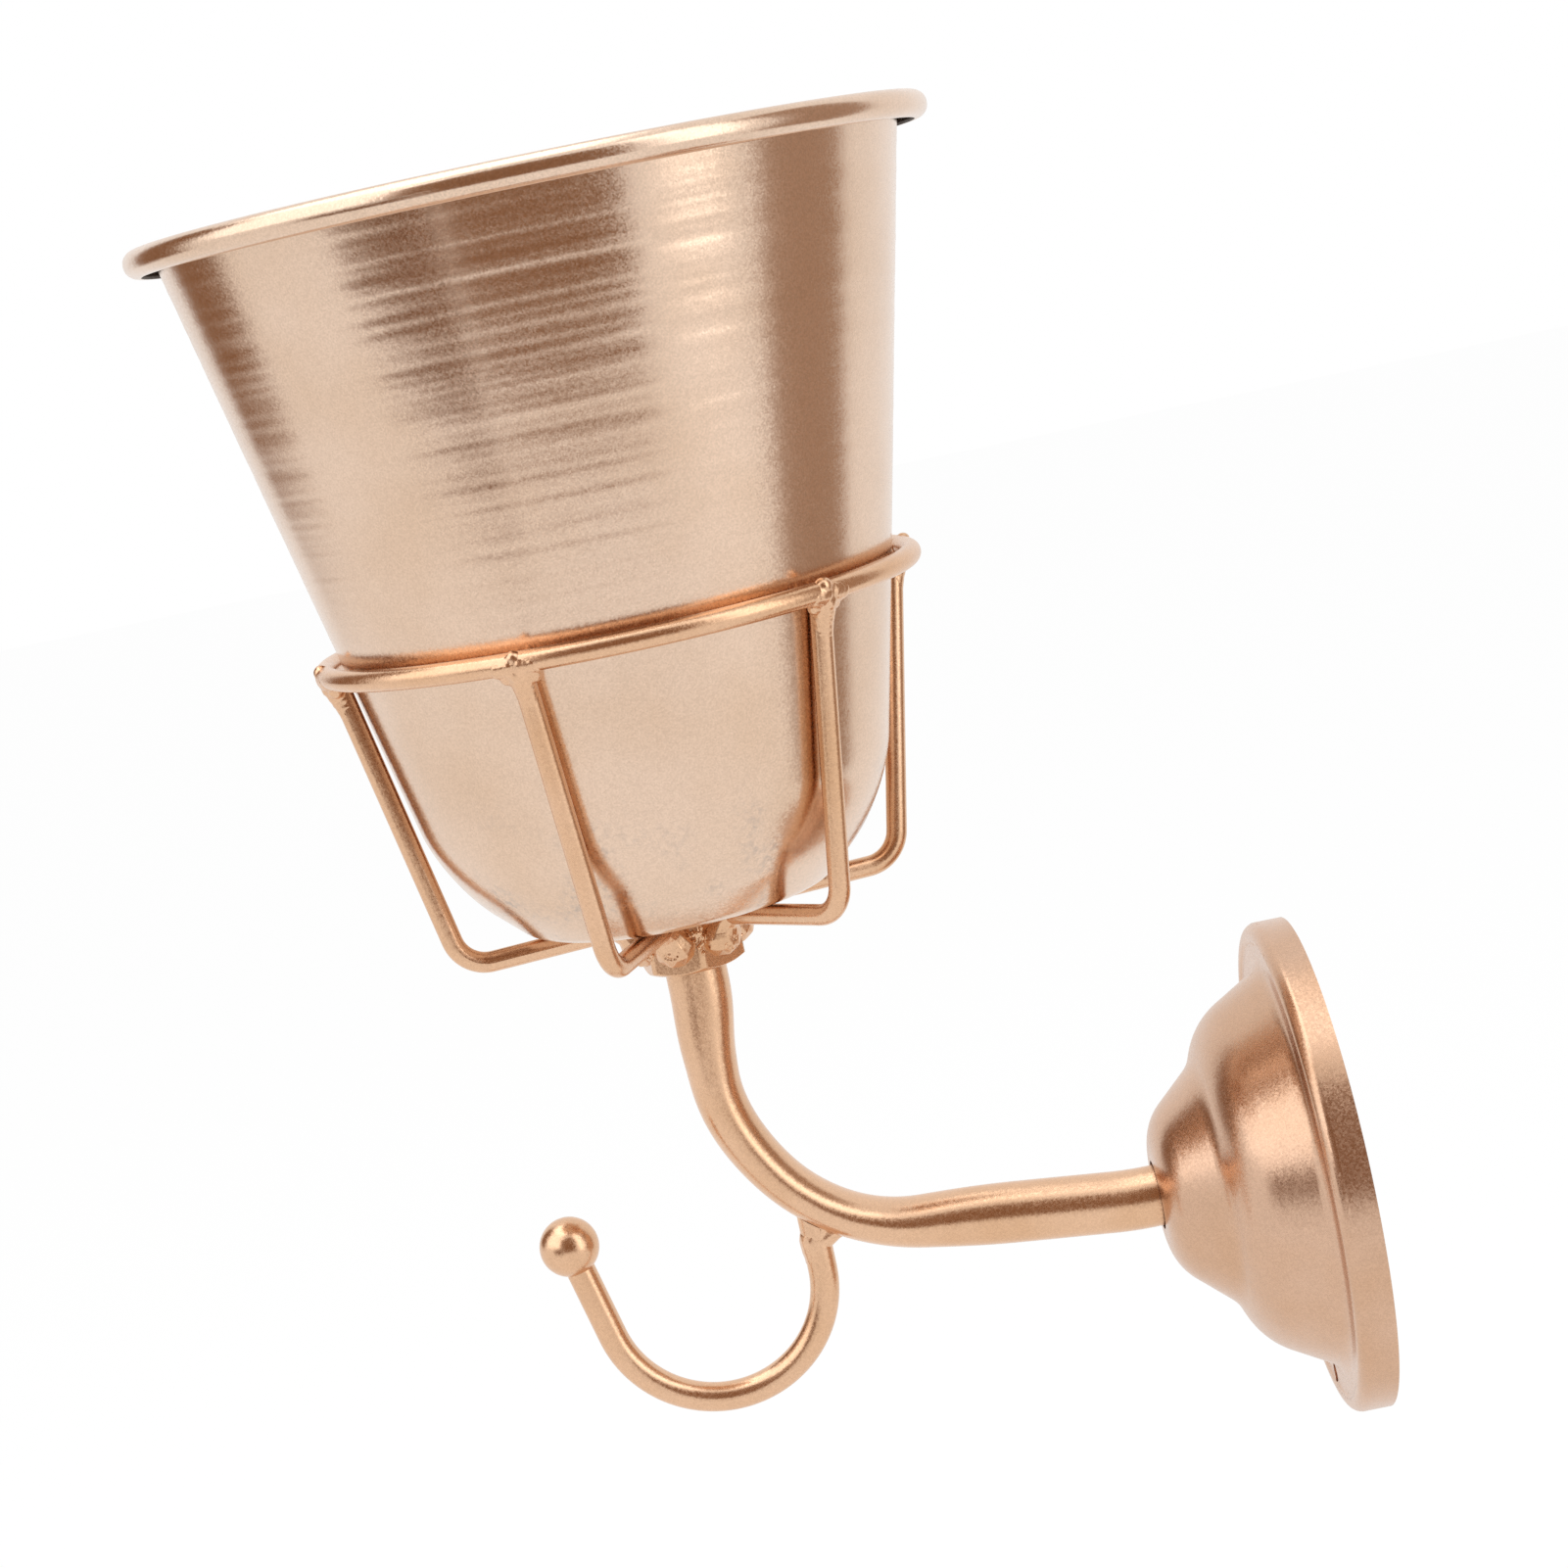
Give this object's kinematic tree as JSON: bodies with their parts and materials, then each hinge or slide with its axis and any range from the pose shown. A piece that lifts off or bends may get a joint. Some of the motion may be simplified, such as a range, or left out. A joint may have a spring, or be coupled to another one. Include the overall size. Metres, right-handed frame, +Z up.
{
  "type": "wall vase",
  "caption": "Wall vase: a tapered spun metal cup with a rolled lip stands in a welded wire cage on a bent tube arm, with a ball-ended hook below and a stepped round wall flange.",
  "frame": {"origin": "on the wall, at the centre of the round flange and its screw circle", "axes": "+Z up along the cup, +Y into the wall, so the arm and the cup stand out along -Y"},
  "size_m": [0.1312, 0.1648, 0.2311],
  "materials": {
    "bracket_gold": "satin",
    "cup_gold": "satin"
  },
  "bodies": {
    "flange": {"wall_flange": "bracket_gold", "flange_nut": "bracket_gold", "flange_nut_welds": "bracket_gold"},
    "arm": {"arm_tube": "bracket_gold", "hook_wire": "bracket_gold", "hook_ball": "bracket_gold", "hook_weld": "bracket_gold"},
    "holder": {"hub_nut": "bracket_gold", "nut_welds": "bracket_gold", "cage_ring": "bracket_gold", "ring_welds": "bracket_gold", "cage_wire_1": "bracket_gold", "cage_wire_2": "bracket_gold", "cage_wire_3": "bracket_gold", "cage_wire_4": "bracket_gold", "cage_wire_5": "bracket_gold", "cage_wire_6": "bracket_gold"},
    "cup": {"cup": "cup_gold"}
  },
  "joints": [
    {"name": "arm_turn", "type": "hinge", "parent": "flange", "child": "arm", "pos_m": [0, 0, 0], "axis": [0, 1, 0], "range_deg": [-180, 180]},
    {"name": "holder_turn", "type": "hinge", "parent": "arm", "child": "holder", "pos_m": [0, -0.0992, 0], "axis": [0, 0, 1], "range_deg": [-180, 180]},
    {"name": "cup_lift", "type": "slide", "parent": "holder", "child": "cup", "axis": [0, 0, 1], "range_m": [0, 0.08]}
  ]
}
